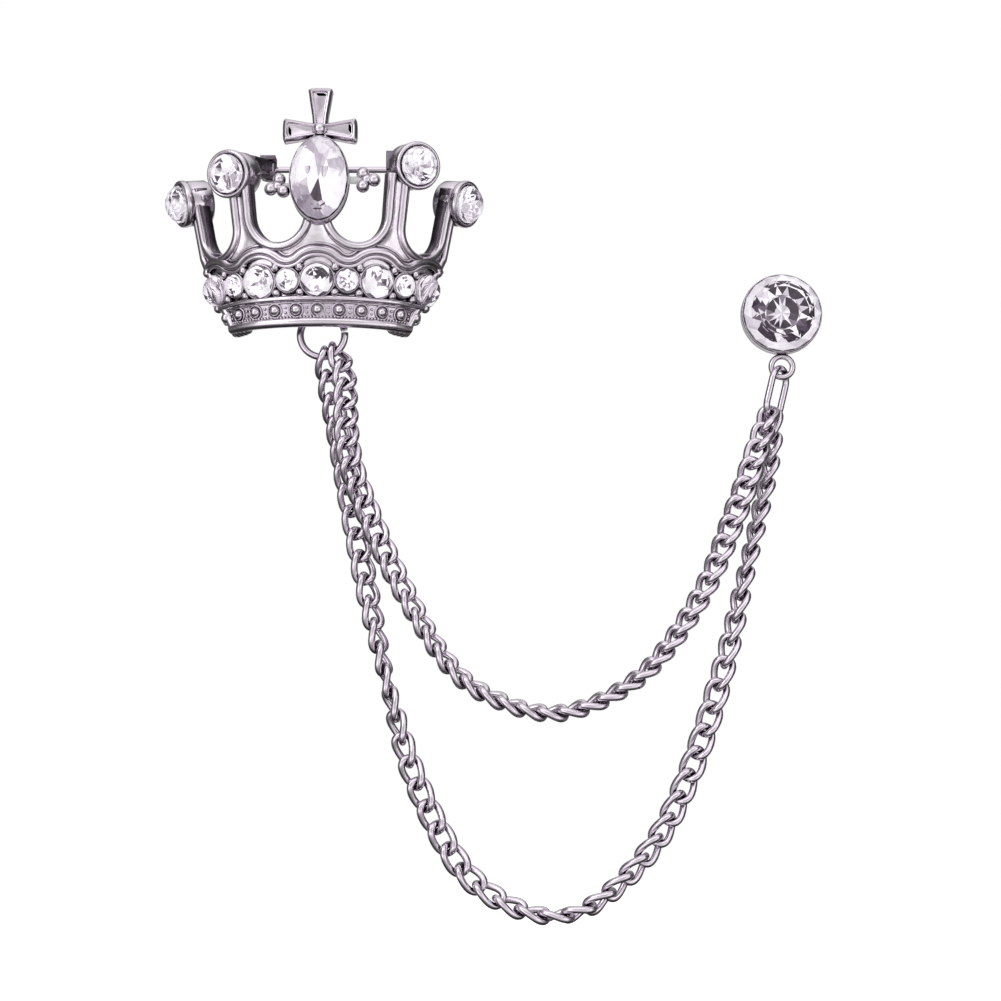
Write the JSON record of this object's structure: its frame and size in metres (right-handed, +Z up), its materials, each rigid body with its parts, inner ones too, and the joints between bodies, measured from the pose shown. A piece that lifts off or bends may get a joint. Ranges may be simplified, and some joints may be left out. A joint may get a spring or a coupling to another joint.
{
  "type": "lapel chain",
  "caption": "Antique silver lapel chain: a crown brooch set with clear crystals, joined by curb chain to a round crystal stud",
  "frame": {"origin": "middle of the brooch pin's stem, where the brooch hangs on the lapel", "axes": "+Z up, +X from the brooch towards the stud, -Y towards the viewer: the side that is seen when it is worn"},
  "size_m": [0.0733, 0.0183, 0.0896],
  "materials": {
    "silver": "polished antique silver plate, blackened in the recesses",
    "crystal": "clear cut crystal with a mirror foil behind it"
  },
  "bodies": {
    "brooch": {"crown": "silver", "oval_stone": "crystal", "cup_stone_1": "crystal", "cup_stone_2": "crystal", "cup_stone_3": "crystal", "cup_stone_4": "crystal", "row_stone_1": "crystal", "row_stone_2": "crystal", "row_stone_3": "crystal", "row_stone_4": "crystal", "row_stone_5": "crystal", "row_stone_6": "crystal", "row_stone_7": "crystal", "row_stone_8": "crystal", "row_stone_9": "crystal", "jump_ring": "silver", "upper_chain": "silver", "lower_chain": "silver", "long_link": "silver", "stud": "silver", "stud_stone": "crystal", "clutch": "silver"},
    "pin": {"pin_stem": "silver"}
  },
  "joints": [
    {"name": "pin_hinge", "type": "hinge", "parent": "brooch", "child": "pin", "pos_m": [-0.0062, 0, 0], "axis": [0, 0, 1], "range_deg": [0, 75]}
  ]
}
